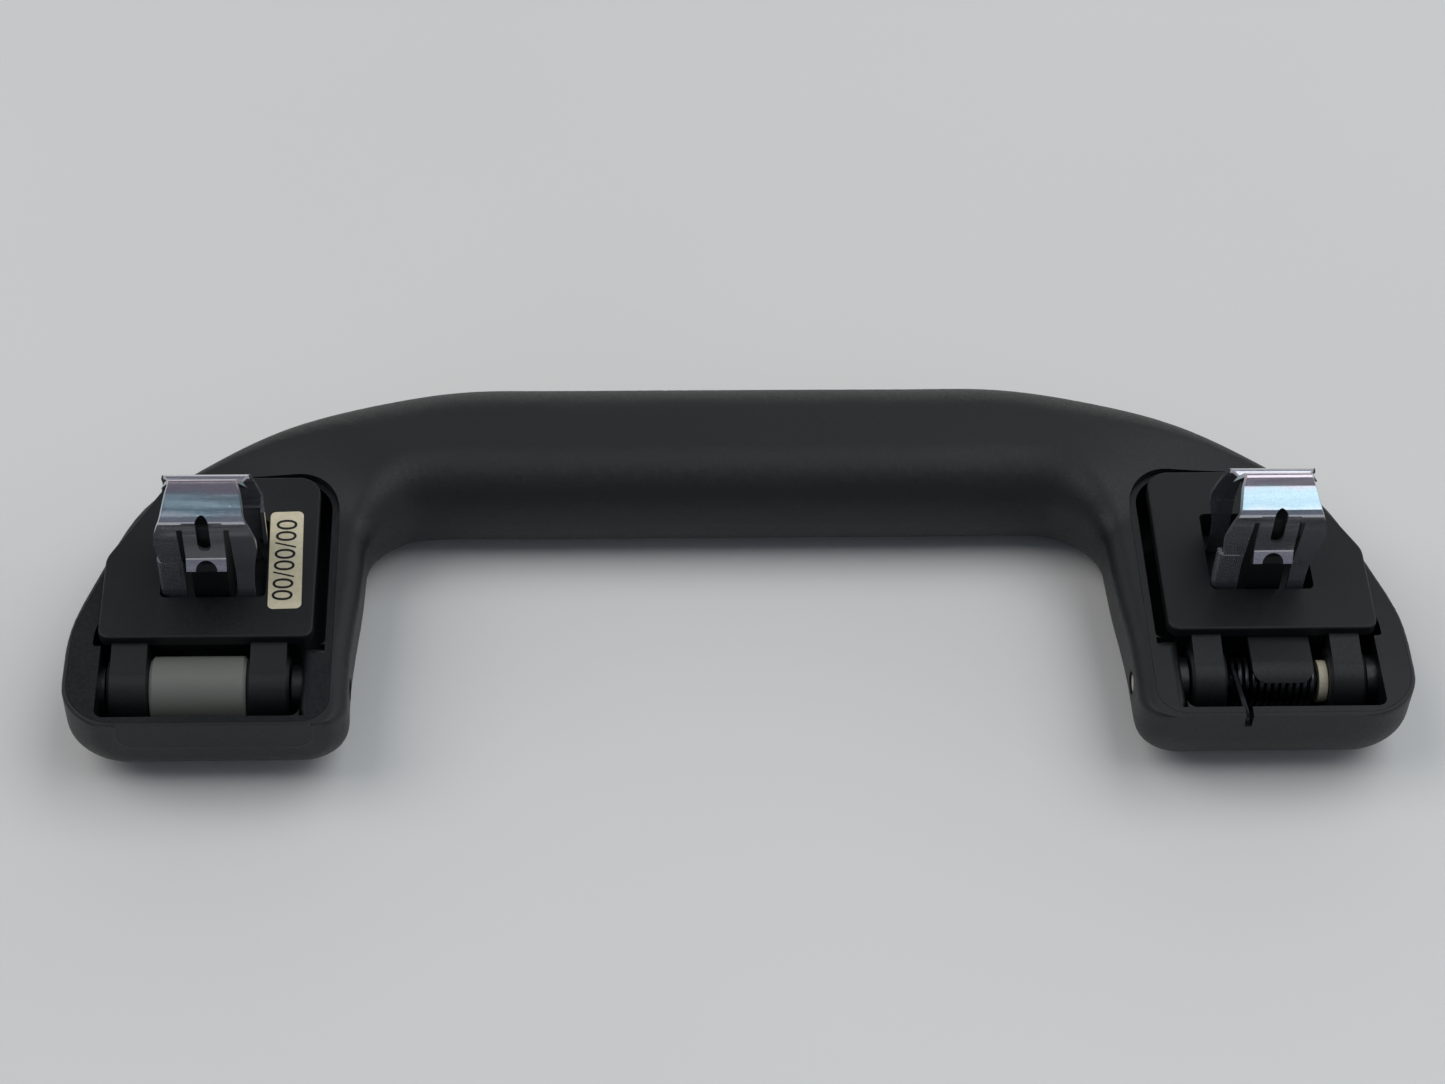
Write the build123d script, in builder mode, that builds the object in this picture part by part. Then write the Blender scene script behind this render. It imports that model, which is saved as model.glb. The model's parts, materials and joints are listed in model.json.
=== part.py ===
"""Folding roof grab handle, lying on its front face with the roof side up.

Millimetres. X runs along the handle, Y from the hinge ends to the grip bar and Z towards the roof.
The right arm is at +X. Each arm end holds a hinged bracket with a sheet-steel spring clip.
What sits in an arm is made round X = 0, the clip's middle plane, with +X outwards, and then placed.
"""

import math
import os

from build123d import *

os.makedirs("parts", exist_ok=True)

# Handle moulding
overall_length = 228.4
overall_width = 77.6
grip_width = 28.3
grip_height = 21.0
grip_flat = 0.6
arm_height = 17.8
arm_width = 49.3
arm_end_width = 47.6
under_round = 10.0
rim_round = 0.8
inner_rim_round = 3.0
gap_corner_radius = 11.5
shoulder_reach = 74.2
arm_straight = 16.8
flank_start = 21.0
flank_lean = 0.36
flank_ease = 6.0
flank_blend = 10.0
end_corner_outer = 9.5
end_corner_inner = 5.5
clip_inset = 24.2
same_place = 0.001

# Hinge, one at each end
hinge_depth = 6.0
pin_diameter = 4.0
pin_press = 0.02
pin_running = 0.05
pin_skin_gap = 0.03
pin_end_recess = 0.3
pin_end = 20.2
pin_end_gap = 0.1
pin_chamfer = 0.5
barrel_gap = 0.2
knuckle_edge = 0.5
damper_knuckles = ((-13.5, -6.4), (9.9, 16.9))
spring_knuckles = ((-13.8, -7.8), (9.9, 16.0))

# Hinge frame, the hard liner of each arm
lip = 0.8
tub_corners = (6.5, 6.5, 8.0)
rim_corners = (5.0, 8.7, 8.0)
flange_chord = ((20.5, 22.0), (1.8, 47.0))
liner_inner_x = -20.5
liner_skin = 3.2
liner_bottom = 3.1
liner_wall = 1.3
liner_rear = 42.4
liner_front_skin = 0.9
liner_edge_round = 6.0
flange_depth = 1.6
chamber = (-15.6, 18.3)
chamber_front_wall = 1.1
chamber_depth = 6.6
chamber_corner = 1.6
ear_round = 1.8
ear_rear_round = 2.2
collar_radius = 4.4
collar_gap = 0.4
pocket_inner_x = -19.3
pocket_rear = 41.3
pocket_clearance = 1.4
pocket_corners = (1.0, 0.6, 6.5)
seat_gap = 0.05

# Bracket, the plate that lies against the roof: Y from the hinge line
pad_inner_x = -17.3
pad_outer_x = 18.7
pad_front = 5.2
pad_rear = 40.8
pad_cut_x = 8.8
pad_cut = 22.7
pad_rounds = (2.0, 2.0, 5.0, 3.0, 4.0)
pad_bed_gap = 0.3
pad_edge = 0.4
pad_lift = 0.1
pad_thickness = 2.1
box_inner_x = -14.6
box_outer_x = 13.6
box_front = 6.5
box_rear = 37.0
box_depth = 12.0
box_wall = 1.6
box_corner = 2.5
box_gap = 0.6
web_bite = 0.5
web_foot_angle = 30
clip_reach = 21.15
window_half_width = 8.95
window_front = -7.35
window_rear = 9.75
window_depth = 6.0
window_wall = 1.4
window_corner = 1.0
cap_thickness = 1.4
cap_gap = 0.1
lug_length = 6.0
lug_x = (-7.5, 2.0)
lug_reach = 1.0
lug_height = 0.8

# Spring clip of folded sheet steel: Y from its middle, Z from the face of the plate
sheet = 0.7
clip_bottom = -8.6
foot_half_depth = 6.45
foot_top = -1.0
clip_waist = (-5.95, 5.2)
clip_knee = (-7.85, 20.6)
knee_height = 3.6
clip_bend = (-3.25, 22.05)
clip_ridge = (-1.05, 23.6)
clip_valley = (0.85, 19.5)
clip_crest = (3.05, 19.95)
clip_shoulder = (5.3, 16.0)
clip_bulge = (6.9, 8.5)
fold_rounds = (6, 6, 10, 1.5, 2, 0.9, 0.8, 1.2, 12, 12, 20)
tongue_half_width = 3.35
slit_width = 1.0
slit_top = 18.2
rear_slit_top = 17.0
slot_width = 2.2
slot_bottom = 13.0
slot_top = 20.9
foot_half_width = 7.2
foot_straight_top = -0.5
front_flank = ((7.7, 7.0), (8.5, 12.5), (7.95, 17.4), (6.8, 20.6))
rear_flank = ((8.5, 7.5), (8.5, 11.0), (7.6, 16.5), (7.15, 19.9))
ridge_half_width = 5.3
foot_gap = 0.15
bend_round = 1.0
tab_reach = 8.7
tab_depth = 1.8
tab_bottom = -0.5
tab_top = 8.0
lip_bottom = 9.0
lip_bend = 11.2
lip_flare = 1.3
lip_notch = 1.8

# Locking wedge between the legs of the clip, in the clip's own measures
wedge_front = -6.65
wedge_rear = 4.85
wedge_top = 17.4
wedge_step = 6.0
wedge_waist = 0.6
wedge_half_width = 3.0
wedge_round = 0.8
wedge_gap = 0.15
head_half_width = 3.9
head_overhang = 1.0
head_thickness = 1.6
head_gap = 0.1

# Damper in the left hinge, spring and washer in the right
damper_radius = 5.9
damper_end_gap = 0.1
damper_bore = 4.7
damper_end_wall = 1.2
rotor_radius = 2.5
rotor_bearing_gap = 0.05
drum_radius = 4.4
drum_length = 10.0
seal_wire = 0.5
seal_radius = 3.3
key_height = 2.0
key_length = 4.0
key_gap = 0.1
wire = 1.0
coil_radius = 3.7
coil_turns = 11
coil_start = -6.5
coil_end = 7.1
leg_x = -5.4
leg_end_inset = 1.2
leg_end_depth = 1.6
leg_gap = 0.15
tail_length = 4.6
tongue_span = (-3.5, 6.9)
tongue_sweep = 40
tongue_thickness = 1.1
tongue_corner = 2.5
washer_diameter = 7.2
washer_thickness = 1.5
washer_gap = 0.1

# Paper label let into the left bracket
label_length = 21.6
label_width = 5.7
label_thickness = 0.12
label_corner = 1.0
label_x = -12.0
label_reach = 22.0
label_turn = -1.6
label_gap = 0.02

half_length = overall_length / 2
y_end = -overall_width / 2
y_back = overall_width / 2
y_front = y_back - grip_width
grip_round = (grip_height - grip_flat) / 2
corner_gap_x = half_length - arm_width
end_gap_x = half_length - arm_end_width
shoulder_x = half_length - shoulder_reach
shoulder_y = y_end + arm_straight
flank_y = y_end + flank_start
gap_corner = (corner_gap_x - gap_corner_radius, y_front - gap_corner_radius)
clip_x = half_length - clip_inset
hinge_z = arm_height - hinge_depth
hinge_y = y_end + hinge_z
hinge_line = Plane.YZ.shift_origin((0, hinge_y, hinge_z))
barrel_radius = hinge_depth - barrel_gap
pin_radius = pin_diameter / 2
pin_start = end_gap_x - clip_x + pin_end_recess
pad_bottom = arm_height + pad_lift
pad_top = pad_bottom + pad_thickness
box_bottom = pad_top - box_depth
pocket_floor = box_bottom - pocket_clearance
pocket_inset = liner_skin + liner_wall
liner_floor = pocket_floor - liner_bottom
window_floor = pad_top - window_depth
clip_y = hinge_y + clip_reach
leg_inner_x = tongue_half_width + slit_width
head_top = -window_depth - window_wall - head_gap
damper_span = (damper_knuckles[0][1] + damper_end_gap, damper_knuckles[1][0] - damper_end_gap)
damper_middle = (damper_span[0] + damper_span[1]) / 2


def on_right(piece):
    """A piece made round the clip's middle plane, put into the right arm."""
    return piece.moved(Location((clip_x, 0, 0)))


def on_left(piece):
    """The same piece mirrored into the left arm."""
    return on_right(piece).mirror(Plane.YZ)


def rounding(radius, distance):
    """How far a quarter round of this radius stands back at a distance from its end."""
    if distance >= radius:
        return 0.0
    return radius - math.sqrt(radius**2 - (radius - distance) ** 2)


def ease(share):
    """Smooth step from 0 to 1."""
    share = min(max(share, 0.0), 1.0)
    return share * share * (3 - 2 * share)


def leaning_x(y):
    """The outer flank's slanting stretch, which runs in towards the shoulder."""
    return half_length - flank_lean * (y - flank_y)


def outer_x(y):
    """The outer flank: straight, easing into the slant, then the elliptical shoulder."""
    run = y - flank_y
    if abs(run) < flank_ease:
        run = (run + flank_ease) ** 2 / (4 * flank_ease)
    rise = max(0.0, y - shoulder_y) / (y_back - shoulder_y)
    return min(shoulder_x + shoulder_reach * math.sqrt(1 - rise**2), half_length - flank_lean * max(run, 0))


def outer_on_ray(angle):
    """Where a ray from the gap's corner centre meets the outer side."""
    a = shoulder_reach
    b = y_back - shoulder_y
    ox, oy = (gap_corner[0] - shoulder_x) / a, (gap_corner[1] - shoulder_y) / b
    dx, dy = math.cos(angle) / a, math.sin(angle) / b
    along = ox * dx + oy * dy
    square = dx * dx + dy * dy
    to_shoulder = (math.sqrt(along**2 - square * (ox * ox + oy * oy - 1)) - along) / square
    to_flank = (leaning_x(gap_corner[1]) - gap_corner[0]) / (math.cos(angle) + flank_lean * math.sin(angle))
    reach = min(to_shoulder, to_flank)
    return (gap_corner[0] + reach * math.cos(angle), gap_corner[1] + reach * math.sin(angle))


def grip_station(x):
    """Cross-section of the grip bar at x."""
    rounds = (grip_round, grip_round, grip_round)
    return ((x, y_front), (x, y_back), 0.0, grip_height, rounds)


def corner_station(degrees):
    """Cross-section where the arm turns into the bar: 0 looks along the arm, 90 along the bar."""
    angle = math.radians(degrees)
    turn = ease(degrees / 90)
    inner = (
        gap_corner[0] + gap_corner_radius * math.cos(angle),
        gap_corner[1] + gap_corner_radius * math.sin(angle),
    )
    top = arm_height + (grip_height - arm_height) * ease((degrees - 20) / 40)
    rounds = (
        inner_rim_round + (grip_round - inner_rim_round) * turn,
        rim_round + (grip_round - rim_round) * ease(degrees / 70),
        under_round + (grip_round - under_round) * turn,
    )
    return (inner, outer_on_ray(angle), 0.0, top, rounds)


def arm_station(distance):
    """Cross-section of the arm at a distance from its end, with the end's own rounding."""
    y = y_end + distance
    flank = end_gap_x + (corner_gap_x - end_gap_x) * ease((y - hinge_y) / (gap_corner[1] - hinge_y))
    inner = (flank + rounding(end_corner_inner, distance), y)
    outer = (outer_x(y) - rounding(end_corner_outer, distance), y)
    bottom = rounding(hinge_z, distance)
    rounds = (
        rim_round + (inner_rim_round - rim_round) * min(1.0, distance / end_corner_inner),
        rim_round,
        under_round - (under_round - inner_rim_round) * bottom / hinge_z,
    )
    return (inner, outer, bottom, arm_height, rounds)


def mirrored(station):
    """The same cross-section on the left side."""
    inner, outer, bottom, top, rounds = station
    return ((-inner[0], inner[1]), (-outer[0], outer[1]), bottom, top, rounds)


def section(station):
    """One closed cross-section, upright on its plan line from the gap side to the outer side."""
    inner, outer, bottom, top, (top_inner, top_outer, under) = station
    width = math.dist(inner, outer)
    ux, uy = (outer[0] - inner[0]) / width, (outer[1] - inner[1]) / width
    spare = top - bottom - under - 0.6
    top_inner = min(top_inner, spare)
    top_outer = min(top_outer, spare)
    upright = Plane(origin=(inner[0], inner[1], 0), x_dir=(ux, uy, 0), z_dir=(uy, -ux, 0))
    with BuildSketch(upright) as slice_face:
        with BuildLine():
            Line((under, bottom), (width - under, bottom))
            CenterArc((width - under, bottom + under), under, -90, 90)
            Line((width, bottom + under), (width, top - top_outer))
            CenterArc((width - top_outer, top - top_outer), top_outer, 0, 90)
            Line((width - top_outer, top), (top_inner, top))
            CenterArc((top_inner, top - top_inner), top_inner, 90, 90)
            Line((0, top - top_inner), (0, bottom + under))
            CenterArc((under, bottom + under), under, 180, 90)
        make_face()
    return slice_face.sketch


def inside_arm(inset, x_span, y_span):
    """Plan area between two X and two Y that keeps an inset from the arm's outer side."""
    front, rear = y_span
    reach = shoulder_reach - inset
    slant = clip_x + inset * math.hypot(1, flank_lean)
    with BuildSketch() as area:
        with Locations((shoulder_x - clip_x, shoulder_y)):
            Ellipse(reach, y_back - shoulder_y - inset)
            if front < shoulder_y:
                Rectangle(reach, shoulder_y - front, align=(Align.MIN, Align.MAX))
        with BuildLine():
            Polyline(
                (x_span[0], front),
                (leaning_x(front) - slant, front),
                (leaning_x(rear) - slant, rear),
                (x_span[0], rear),
                close=True,
            )
        make_face(mode=Mode.INTERSECT)
        with Locations((x_span[0], front)):
            Rectangle(
                x_span[1] - x_span[0],
                rear - front,
                align=(Align.MIN, Align.MIN),
                mode=Mode.INTERSECT,
            )
        on_slant = area.vertices().filter_by(lambda v: abs(leaning_x(v.Y) - slant - v.X) < same_place)
        fillet(on_slant.filter_by(lambda v: front < v.Y < rear - same_place), flank_blend)
    return area.sketch


def arm_plan(inset, front, inner_x, rear, corners):
    """Plan of the right arm inset from its outer side, its front corners and inner rear corner round."""
    inner_corner, outer_corner, rear_corner = corners
    with BuildSketch() as plan:
        add(inside_arm(inset, (inner_x, clip_inset), (front, rear)))
        fillet(plan.vertices().group_by(Axis.Y)[0].sort_by(Axis.X)[0], inner_corner)
        fillet(plan.vertices().group_by(Axis.Y)[0].sort_by(Axis.X)[-1], outer_corner)
        fillet(plan.vertices().group_by(Axis.Y)[-1].sort_by(Axis.X)[0], rear_corner)
    return plan.sketch


def trough(radius, floor, top):
    """Room round the hinge line: an upright front wall over a round bottom, cut off at a floor."""
    with BuildPart() as room:
        with BuildSketch(hinge_line.offset(-clip_x)):
            Circle(radius)
            with Locations((-radius, 0)):
                Rectangle(half_length, top - hinge_z, align=(Align.MIN, Align.MIN))
            Rectangle(half_length, radius, align=(Align.MIN, Align.MAX))
            with Locations((-half_length / 2, floor - hinge_z)):
                Rectangle(
                    2 * half_length,
                    half_length,
                    align=(Align.MIN, Align.MIN),
                    mode=Mode.INTERSECT,
                )
        extrude(amount=half_length)
    return room.part


def pad_plan(grow):
    """Outline of the bracket plate, its outer rear corner cut along the shoulder."""
    corners = (
        (pad_inner_x, hinge_y + pad_front),
        (pad_outer_x, hinge_y + pad_front),
        (pad_outer_x, hinge_y + pad_cut),
        (pad_cut_x, hinge_y + pad_rear),
        (pad_inner_x, hinge_y + pad_rear),
    )
    with BuildSketch() as plan:
        with BuildLine():
            FilletPolyline(*corners, radius=pad_rounds, close=True)
        make_face()
        if grow:
            offset(amount=grow)
    return plan.sketch


def bore(radius, start, end):
    """A round bar on the hinge line from one X to another, as a solid to cut with."""
    with BuildPart() as bar:
        with BuildSketch(hinge_line.offset(start)):
            Circle(radius)
        extrude(amount=end - start)
    return bar.part


def liner_blank(grow, top):
    """The hinge frame before it is hollowed. Grown a little and taller, it cuts the arm's pocket."""
    inner_x = liner_inner_x - grow
    rear = hinge_y + liner_rear + grow
    floor = liner_floor - grow
    rim = arm_height - flange_depth - grow
    with BuildPart() as tub:
        with BuildSketch(Plane.XY.offset(floor)):
            add(arm_plan(liner_skin - grow, y_end + liner_front_skin - grow, inner_x, rear, tub_corners))
        extrude(amount=top - floor)
        fillet(tub.faces().sort_by(Axis.Z)[0].edges().filter_by(Axis.Y), liner_edge_round)
        add(trough(hinge_z - liner_front_skin + grow, floor, top), mode=Mode.INTERSECT)
    with BuildPart() as blank:
        with BuildSketch(Plane.XY.offset(rim)):
            add(arm_plan(lip - grow, y_end + lip - grow, inner_x, rear, rim_corners))
            with BuildLine():
                start, end = [(x, hinge_y + y) for x, y in flange_chord]
                Polyline(start, end, (clip_inset, end[1]), close=True)
            make_face(mode=Mode.SUBTRACT)
        extrude(amount=top - rim)
        add(tub.part)
    return blank.part


def make_handle():
    """The one-piece handle: grip bar, shoulders and arms, open at the back for the hinge frames."""
    grip = [grip_station(shoulder_x * share) for share in (0, 0.45, 0.9)]
    corner = [corner_station(angle) for angle in (90, 67.5, 45, 22.5, 11.25, 0)]
    arm = [arm_station(hinge_z * share) for share in (2.5, 1.95, 1.6, 1.3, 1, 0.68, 0.38, 0.15, 0.04, 0)]
    right = grip + corner + arm
    left = [mirrored(station) for station in right[:0:-1]]
    pin_hole = bore(pin_radius + pin_skin_gap, shoulder_x - clip_x, chamber[0])
    with BuildPart() as handle:
        loft([section(station) for station in left + right])
        for cutter in (liner_blank(seat_gap, grip_height), pad_bed(), pin_hole):
            add(on_right(cutter), mode=Mode.SUBTRACT)
            add(on_left(cutter), mode=Mode.SUBTRACT)
        add(on_right(leg_notch()), mode=Mode.SUBTRACT)
    return handle


def pad_bed():
    """Clear room above the rim for the bracket plate."""
    with BuildPart() as bed:
        with BuildSketch(Plane.XY.offset(arm_height)):
            add(pad_plan(pad_bed_gap))
        extrude(amount=grip_height)
    return bed.part


def hinge_room():
    """Chamber that the hinge turns in, open at the top and towards the bracket's pocket."""
    floor_plan = plan_rectangle(chamber, (y_end, hinge_y + pad_front))
    wall_radius = hinge_z - liner_front_skin - chamber_front_wall
    with BuildPart() as room:
        add(extruded(floor_plan, 0, grip_height))
        add(trough(wall_radius, hinge_z - chamber_depth, grip_height), mode=Mode.INTERSECT)
        fillet(room.edges().filter_by(Axis.Z).group_by(Axis.Y)[0], chamber_corner)
    return room.part


def ear_flare():
    """What the rounds on the ear beside the inner knuckle take away, at its hinge and its rear side."""
    with BuildPart() as flare:
        with BuildSketch(Plane.XZ.offset(-hinge_y - pad_front)):
            with Locations((chamber[0] - ear_round, arm_height - ear_round)):
                Rectangle(ear_round, 2 * ear_round, align=(Align.MIN, Align.MIN))
                Circle(ear_round, mode=Mode.SUBTRACT)
        extrude(amount=hinge_y + pad_front - (y_end + liner_front_skin + chamber_front_wall))
        with BuildSketch(Plane.YZ.offset(pocket_inner_x)):
            with Locations((hinge_y + pad_front - ear_rear_round, arm_height - ear_rear_round)):
                Rectangle(ear_rear_round, 2 * ear_rear_round, align=(Align.MIN, Align.MIN))
                Circle(ear_rear_round, mode=Mode.SUBTRACT)
        extrude(amount=chamber[0] - pocket_inner_x)
    return flare.part


def leg_notch():
    """Notch in the rim that lets the front leg of the spring reach the end wall."""
    leg_low = hinge_z + coil_radius - wire / 2 - leg_gap
    half_width = wire / 2 + leg_gap
    notch_x = (leg_x - half_width, leg_x + half_width)
    notch_y = (y_end - lip, y_end + liner_front_skin + 2 * chamber_front_wall)
    return extruded(plan_rectangle(notch_x, notch_y), leg_low, grip_height)


def make_hinge_frame(knuckles, has_spring):
    """The hard liner: chamber for the hinge, pocket for the bracket and bores for the pin."""
    with BuildPart() as frame:
        add(liner_blank(0, arm_height))
        with BuildSketch(Plane.XY.offset(pocket_floor)):
            add(
                arm_plan(
                    pocket_inset,
                    hinge_y + pad_front,
                    pocket_inner_x,
                    hinge_y + pocket_rear,
                    pocket_corners,
                )
            )
        extrude(amount=arm_height, mode=Mode.SUBTRACT)
        add(hinge_room(), mode=Mode.SUBTRACT)
        add(bore(collar_radius, chamber[0] - liner_wall, knuckles[0][0] - collar_gap))
        add(bore(collar_radius, knuckles[1][1] + collar_gap, chamber[1] + liner_wall))
        pin_hole = bore(pin_radius + pin_press, pin_start - pin_end_recess, pin_end + pin_end_gap)
        add(pin_hole, mode=Mode.SUBTRACT)
        add(ear_flare(), mode=Mode.SUBTRACT)
        if has_spring:
            add(leg_notch(), mode=Mode.SUBTRACT)
    return frame


def extruded(sketch, start, end):
    """A plan sketch made solid between two heights."""
    with BuildPart() as block:
        with BuildSketch(Plane.XY.offset(start)):
            add(sketch)
        extrude(amount=end - start)
    return block.part


def plan_rectangle(x_span, y_span, corner=0):
    """Plan rectangle from its X span and Y span."""
    with BuildSketch() as plan:
        with Locations((x_span[0], y_span[0])):
            Rectangle(x_span[1] - x_span[0], y_span[1] - y_span[0], align=(Align.MIN, Align.MIN))
        if corner:
            fillet(plan.vertices(), corner)
    return plan.sketch


def ring_bar(outer, inner, start, end):
    """A tube round the hinge line from one X to another."""
    with BuildPart() as tube:
        with BuildSketch(hinge_line.offset(start)):
            Circle(outer)
            Circle(inner, mode=Mode.SUBTRACT)
        extrude(amount=end - start)
    return tube.part


def web_profile():
    """Side view of the web that carries a knuckle, from the barrel back to the box wall."""
    wall_inside = box_front + box_wall
    top = pad_bottom + web_bite - hinge_z
    foot = math.radians(web_foot_angle)
    with BuildSketch() as side:
        with BuildLine():
            Polyline(
                (0, barrel_radius),
                (pad_front, top),
                (wall_inside, top),
                (wall_inside, box_bottom + cap_thickness - hinge_z),
                (barrel_radius * math.sin(foot), -barrel_radius * math.cos(foot)),
                close=True,
            )
        make_face()
    return side.sketch


def knuckle(span):
    """Hinge barrel over an X span, its end rims broken."""
    with BuildPart() as barrel:
        add(bore(barrel_radius, *span))
        chamfer(barrel.edges().filter_by(GeomType.CIRCLE), knuckle_edge)
    return barrel.part


def make_bracket(knuckles, has_tongue):
    """Plate, box, clip recess and knuckles in one moulding."""
    window_x = (-window_half_width, window_half_width)
    window_y = (clip_y + window_front, clip_y + window_rear)
    cup_x = (window_x[0] - window_wall, window_x[1] + window_wall)
    cup_y = (window_y[0] - window_wall, window_y[1] + window_wall)
    with BuildPart() as bracket:
        add(extruded(box_plan(0), box_bottom, pad_bottom))
        add(extruded(box_plan(box_wall), box_bottom, pad_bottom), mode=Mode.SUBTRACT)
        add(extruded(pad_plan(0), pad_bottom, pad_top))
        top_edges = bracket.faces().sort_by(Axis.Z)[-1].edges()
        fillet(top_edges, pad_edge)
        add(extruded(plan_rectangle(cup_x, cup_y), window_floor - window_wall, pad_bottom))
        for span in knuckles:
            add(knuckle(span))
            with BuildSketch(hinge_line.offset(span[0] + knuckle_edge)):
                add(web_profile())
            extrude(amount=span[1] - span[0] - 2 * knuckle_edge)
        window = extruded(plan_rectangle(window_x, window_y, window_corner), window_floor, pad_top)
        add(window, mode=Mode.SUBTRACT)
        add(clip_passage(), mode=Mode.SUBTRACT)
        add(bore(pin_radius + pin_running, chamber[0], pin_end), mode=Mode.SUBTRACT)
        add(cap_lugs(cap_gap), mode=Mode.SUBTRACT)
        if has_tongue:
            add(spring_tongue())
        else:
            with Locations((damper_middle, hinge_y + box_front, hinge_z)):
                Box(key_length + 2 * key_gap, 3 * box_wall, key_height + 2 * key_gap, mode=Mode.SUBTRACT)
    return bracket.part


def spring_tongue():
    """Flap of the right bracket that reaches over the spring and curves down round it."""
    reach = box_front + box_wall / 2
    inner = barrel_radius - tongue_thickness
    tip = math.radians(90 + tongue_sweep)
    with BuildPart() as flap:
        with BuildSketch(hinge_line.offset(tongue_span[0])):
            with BuildLine():
                Polyline((0, inner), (reach, inner), (reach, barrel_radius), (0, barrel_radius))
                CenterArc((0, 0), barrel_radius, 90, tongue_sweep)
                CenterArc((0, 0), inner, 90, tongue_sweep)
                Line(
                    (inner * math.cos(tip), inner * math.sin(tip)),
                    (barrel_radius * math.cos(tip), barrel_radius * math.sin(tip)),
                )
            make_face()
        extrude(amount=tongue_span[1] - tongue_span[0])
        tip_face = flap.faces().filter_by(GeomType.PLANE).sort_by(Axis.Y)[0]
        fillet(tip_face.edges().sort_by(SortBy.LENGTH)[:2], tongue_corner)
    return flap.part


def box_plan(inset):
    """Outline of the box under the plate, kept clear of the pocket's outer side."""
    x_span = (box_inner_x + inset, box_outer_x - inset)
    y_span = (hinge_y + box_front + inset, hinge_y + box_rear - inset)
    with BuildSketch() as plan:
        add(inside_arm(pocket_inset + box_gap + inset, x_span, y_span))
        corners = plan.vertices().group_by(Axis.Y)
        fillet([*corners[0], *corners[-1]], box_corner - inset)
    return plan.sketch


def clip_passage():
    """Slots for the clip's four feet and the hole for the wedge, through the recess floor."""
    low = window_floor - 2 * window_wall
    high = window_floor + window_wall
    right = (leg_inner_x - foot_gap, foot_half_width + foot_gap)
    left = (-right[1], -right[0])
    near = foot_half_depth - sheet - foot_gap
    far = foot_half_depth + foot_gap
    with BuildPart() as passage:
        for y_span in ((clip_y - far, clip_y - near), (clip_y + near, clip_y + far)):
            add(extruded(plan_rectangle(right, y_span), low, high))
            add(extruded(plan_rectangle(left, y_span), low, high))
        reach = wedge_half_width + wedge_gap
        hole_y = (clip_y + wedge_front - wedge_gap, clip_y + wedge_rear + wedge_gap)
        add(extruded(plan_rectangle((-reach, reach), hole_y), low, high))
    return passage.part


def cap_lugs(gap):
    """Lugs on the front and rear edges of the cap, or with a gap the slots that hold them."""
    middle_y = hinge_y + (box_front + box_rear) / 2
    reach = box_rear - box_front - 2 * box_wall + 2 * (lug_reach + gap)
    with BuildPart() as lugs:
        for x in lug_x:
            with Locations((x, middle_y, box_bottom + cap_thickness / 2)):
                Box(lug_length + 2 * gap, reach, lug_height + 2 * gap)
    return lugs.part


def make_cap():
    """Lid that closes the box from below."""
    with BuildPart() as cap:
        add(extruded(box_plan(box_wall + cap_gap), box_bottom, box_bottom + cap_thickness))
        add(cap_lugs(0))
    return cap.part


def folded_band(points, rounds, half_width):
    """Sheet strip folded along a side profile: the points lie on its outer face, front to rear."""
    with BuildPart() as band:
        with BuildSketch(Plane.YZ.offset(-half_width)):
            with BuildLine():
                outer = FilletPolyline(*points, radius=rounds)
                offset(outer, amount=sheet, side=Side.RIGHT, closed=True)
            make_face()
        extrude(amount=2 * half_width)
    return band.part


def flank_outline(flank):
    """Outline of one side of the clip, seen from the front: straight feet, curved flanks, narrow ridge."""
    top = clip_ridge[1] + sheet
    with BuildSketch(Plane.XZ) as outline:
        with BuildLine():
            Polyline(
                (0, clip_bottom - sheet),
                (foot_half_width, clip_bottom - sheet),
                (foot_half_width, foot_straight_top),
            )
            Spline((foot_half_width, foot_straight_top), *flank, tangents=((0, 1), (-0.5, 1)))
            Polyline(flank[-1], (ridge_half_width, clip_ridge[1]), (ridge_half_width, top), (0, top))
            Line((0, top), (0, clip_bottom - sheet))
        make_face()
        mirror(about=Plane.YZ)
    return outline.sketch


def clip_half(rear):
    """Upright prism that trims one side of the clip to its outline and cuts its two slits."""
    top = rear_slit_top if rear else slit_top
    low = clip_bottom - sheet
    with BuildPart() as prism:
        with BuildSketch(Plane.XZ):
            add(flank_outline(rear_flank if rear else front_flank))
            with Locations((0, (low + top) / 2)):
                Rectangle(2 * leg_inner_x, top - low, mode=Mode.SUBTRACT)
        extrude(amount=-overall_width if rear else overall_width)
    return prism.part


def clip_tab():
    """Side tab of the clip, turned back along the leg."""
    with BuildPart() as tab:
        with BuildSketch(Plane.XY.offset(tab_bottom)):
            with BuildLine():
                outer = FilletPolyline(
                    (-leg_inner_x - sheet, -foot_half_depth),
                    (-tab_reach, -foot_half_depth),
                    (-tab_reach, tab_depth - foot_half_depth),
                    radius=bend_round,
                )
                offset(outer, amount=sheet, side=Side.RIGHT, closed=True)
            make_face()
        extrude(amount=tab_top - tab_bottom)
    return tab.part


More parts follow.
